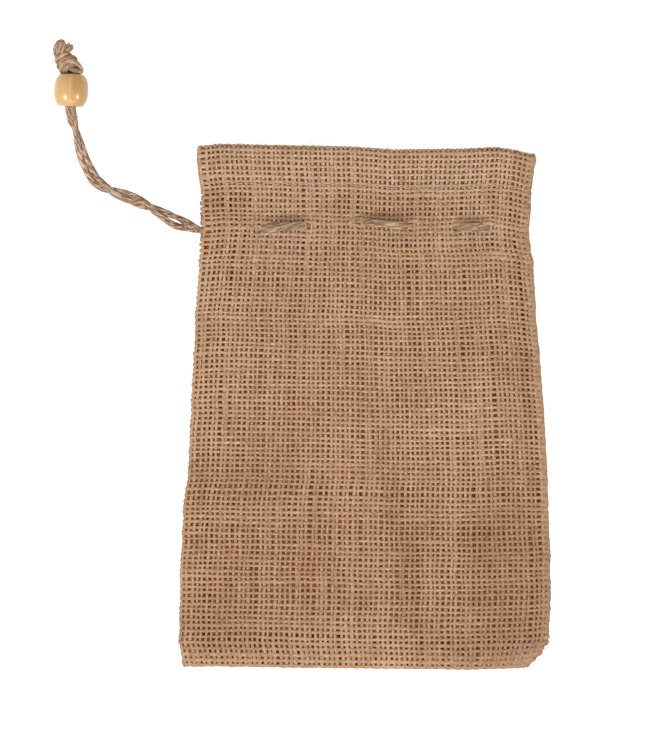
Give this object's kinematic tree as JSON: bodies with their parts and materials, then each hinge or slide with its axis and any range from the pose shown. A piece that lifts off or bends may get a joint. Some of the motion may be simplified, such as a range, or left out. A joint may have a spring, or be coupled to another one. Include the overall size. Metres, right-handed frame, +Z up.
{
  "type": "burlap drawstring sack",
  "caption": "Small empty burlap sack lying flat, hemmed at its mouth, drawn shut by a jute twine that leaves the left seam through a wooden bead and ends in a knot.",
  "frame": {"origin": "on the surface it lies on, under the middle of the sack without its drawstring, bead and knot", "axes": "+Y from the sewn bottom to the mouth, +Z up from the surface to the front panel, +X towards the folded side; the drawstring leaves the sewn side at -X"},
  "size_m": [0.209, 0.2646, 0.0141],
  "materials": {
    "burlap": "open plain weave of coarse jute yarn, tan, matt, with slubs and loose fibres",
    "twine": "loosely twisted jute twine, greyer than the cloth, matt and hairy",
    "bead_wood": "pale golden wood under a clear gloss varnish"
  },
  "bodies": {
    "root": {"sack": "burlap", "drawstring": "twine", "bead": "bead_wood", "knot": "twine"}
  },
  "joints": []
}
